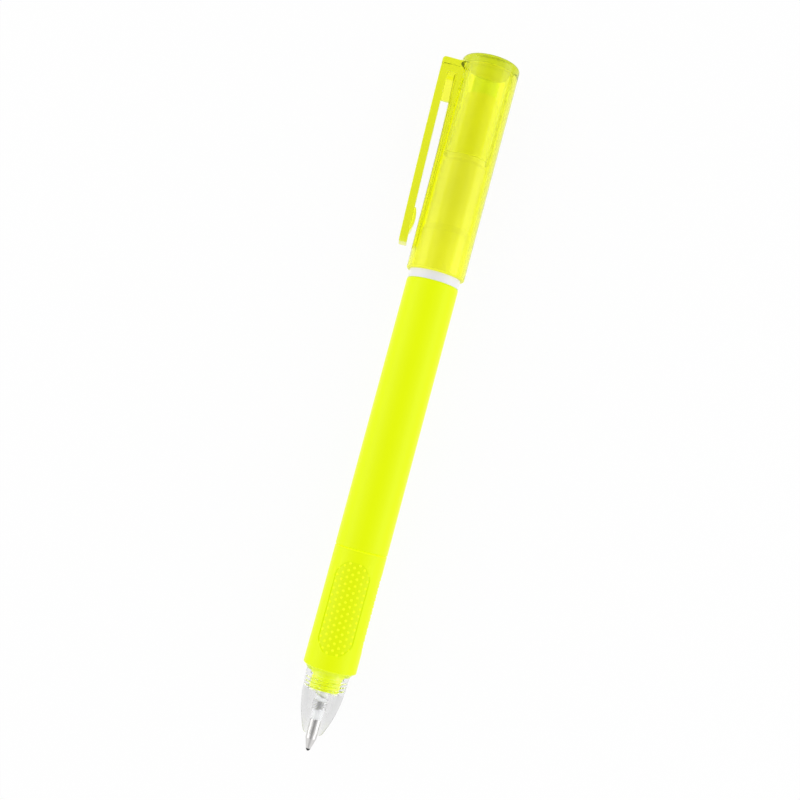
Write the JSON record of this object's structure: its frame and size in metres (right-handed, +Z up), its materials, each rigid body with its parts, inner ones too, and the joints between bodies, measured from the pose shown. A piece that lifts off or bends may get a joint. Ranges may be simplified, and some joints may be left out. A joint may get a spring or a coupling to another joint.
{
  "type": "double-ended pen",
  "caption": "Twist ballpoint pen with a chisel highlighter under a clip cap at its other end, clear nose cone and dotted grip pads.",
  "frame": {"origin": "on the pen's axis at the middle of the barrel, where a pen loop or holder grips it", "axes": "+X along the pen towards the cap's end, with the writing point at -X; +Y is the side the clip is on; +Z up, with the pen lying on its side"},
  "size_m": [0.146, 0.0162, 0.0122],
  "materials": {
    "neon_barrel": "smooth moulded neon yellow",
    "neon_grip": "smooth moulded neon yellow with dotted pads",
    "white_section": "white moulded plastic",
    "felt_nib": "bonded fibre soaked with yellow ink",
    "ink_fibre": "polyester fibre soaked with yellow ink",
    "clear_film": "thin clear film",
    "white_mechanism": "natural white moulded plastic",
    "frosted_tube": "milky polypropylene tube",
    "black_ink": "black ballpoint ink",
    "clear_grease": "clear grease",
    "pale_socket": "milky white plastic",
    "nickel_point": "turned nickel silver",
    "carbide_ball": "ball wetted with black ink",
    "spring_steel": "drawn spring wire",
    "clear_cone": "clear moulded plastic",
    "tinted_cap": "see-through tinted yellow plastic",
    "tinted_inner_cap": "see-through tinted yellow plastic"
  },
  "bodies": {
    "barrel": {"barrel": "neon_barrel", "cam_sleeve": "white_mechanism", "highlighter_section": "white_section", "highlighter_nib": "felt_nib", "ink_reservoir": "ink_fibre", "reservoir_film": "clear_film"},
    "grip": {"grip": "neon_grip", "guide_tube": "white_mechanism", "guide_plug": "white_mechanism"},
    "refill": {"follower": "white_mechanism", "refill_tube": "frosted_tube", "refill_ink": "black_ink", "ink_grease": "clear_grease", "refill_socket": "pale_socket", "writing_point": "nickel_point"},
    "ball": {"writing_ball": "carbide_ball"},
    "spring": {"return_spring": "spring_steel"},
    "nose_cone": {"nose_cone": "clear_cone"},
    "cap": {"cap": "tinted_cap", "inner_cap": "tinted_inner_cap"}
  },
  "joints": [
    {"name": "barrel_twist", "type": "hinge", "parent": "barrel", "child": "grip", "pos_m": [-0.02825, 0, 0], "axis": [1, 0, 0], "range_deg": [0, 180]},
    {"name": "refill_slide", "type": "slide", "parent": "grip", "child": "refill", "axis": [1, 0, 0], "range_m": [0, 0.005], "deforming": ["return_spring"]},
    {"name": "ball_roll", "type": "hinge", "parent": "refill", "child": "ball", "pos_m": [-0.0694, 0, 0], "axis": [0, 1, 0], "continuous": true},
    {"name": "nose_cone_travel", "type": "slide", "parent": "grip", "child": "spring", "axis": [-1, 0, 0], "range_m": [0, 0.0032]},
    {"name": "nose_cone_unscrew", "type": "hinge", "parent": "spring", "child": "nose_cone", "pos_m": [-0.0527, 0, 0], "axis": [-1, 0, 0], "range_deg": [0, 1440]},
    {"name": "cap_pull", "type": "slide", "parent": "barrel", "child": "cap", "axis": [1, 0, 0], "range_m": [0, 0.046]}
  ],
  "couplings": [
    {"joint": "barrel_twist", "follows": "refill_slide", "rad_per_m": 628.32},
    {"joint": "nose_cone_unscrew", "follows": "nose_cone_travel", "rad_per_m": 7854}
  ]
}
